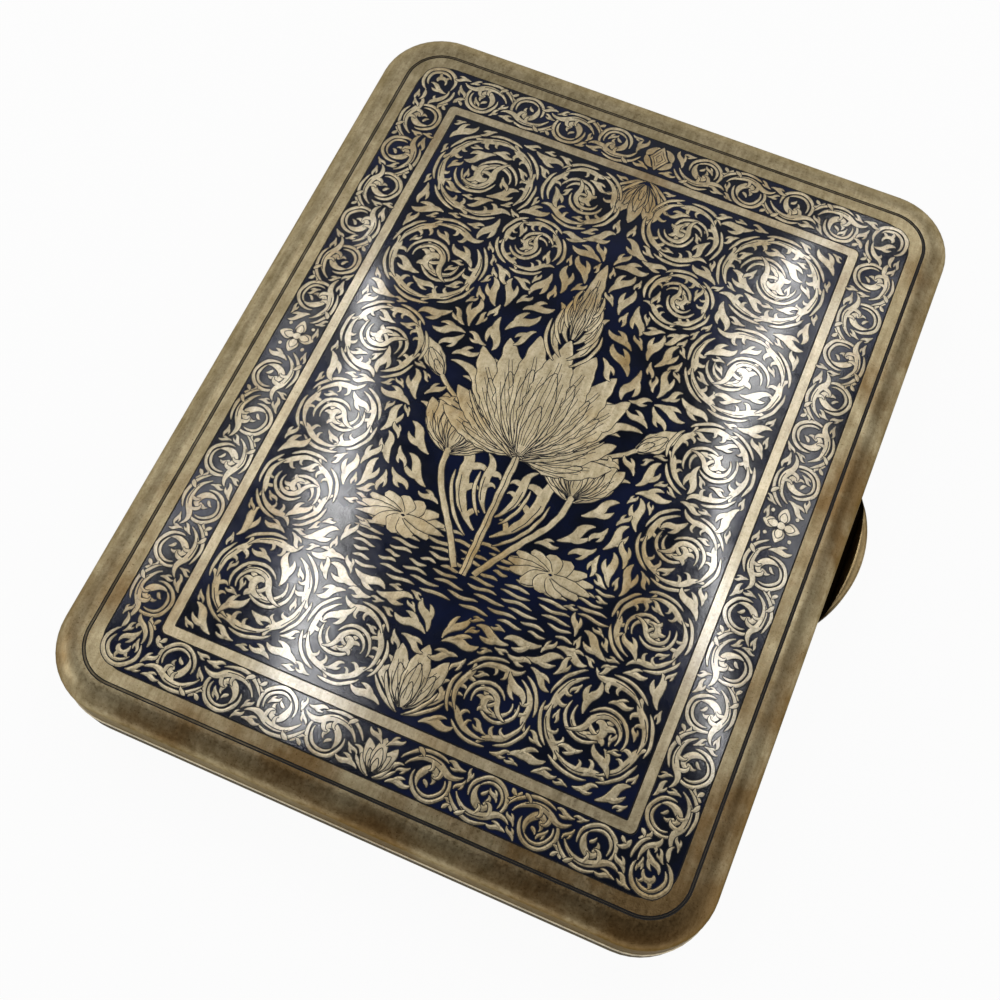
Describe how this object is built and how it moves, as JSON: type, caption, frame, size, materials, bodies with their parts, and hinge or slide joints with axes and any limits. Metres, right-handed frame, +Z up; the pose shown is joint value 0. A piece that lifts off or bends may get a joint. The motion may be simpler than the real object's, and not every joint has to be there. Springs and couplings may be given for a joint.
{
  "type": "cigarette case",
  "caption": "Flat rectangular pocket case: cushion-shaped silver lid with dark niello scrollwork on a knuckle hinge, half-moon push catch, elastic bands inside.",
  "frame": {"origin": "on the flat underside of the base, under the middle of the shells", "axes": "+Z up through the lid, +X from the hinge towards the thumb piece, +Y along the hinge"},
  "size_m": [0.0849, 0.1034, 0.016],
  "materials": {
    "silver": "tarnished silver, worn satin",
    "niello_silver": "tarnished silver scrolls in glossy blue-black niello",
    "inner_silver": "satin silver",
    "steel": "bright spring steel",
    "elastic": "ribbed woven elastic"
  },
  "bodies": {
    "base": {"base_shell": "silver", "hinge_pin": "steel", "base_knuckle_1": "silver", "base_knuckle_3": "silver", "base_knuckle_5": "silver", "base_knuckle_7": "silver", "base_bezel_near": "inner_silver", "base_bezel_far": "inner_silver", "base_elastic": "elastic", "base_loop_near": "inner_silver", "base_loop_far": "inner_silver", "catch_spring": "steel", "spring_keeper_near": "inner_silver", "spring_keeper_far": "inner_silver"},
    "lid": {"lid_shell": "niello_silver", "lid_knuckle_2": "silver", "lid_knuckle_4": "silver", "lid_knuckle_6": "silver", "lid_elastic": "elastic", "lid_loop_near": "inner_silver", "lid_loop_far": "inner_silver", "strike_plate": "inner_silver"},
    "thumb_catch": {"thumb_piece": "silver", "catch_slider": "inner_silver"}
  },
  "joints": [
    {"name": "lid_hinge", "type": "hinge", "parent": "base", "child": "lid", "pos_m": [-0.04035, 0, 0.0076], "axis": [0, -1, 0], "range_deg": [0, 170]},
    {"name": "thumb_press", "type": "slide", "parent": "base", "child": "thumb_catch", "axis": [-1, 0, 0], "range_m": [0, 0.0009], "stiffness_N_per_m": 1500, "deforming": ["catch_spring"]}
  ]
}
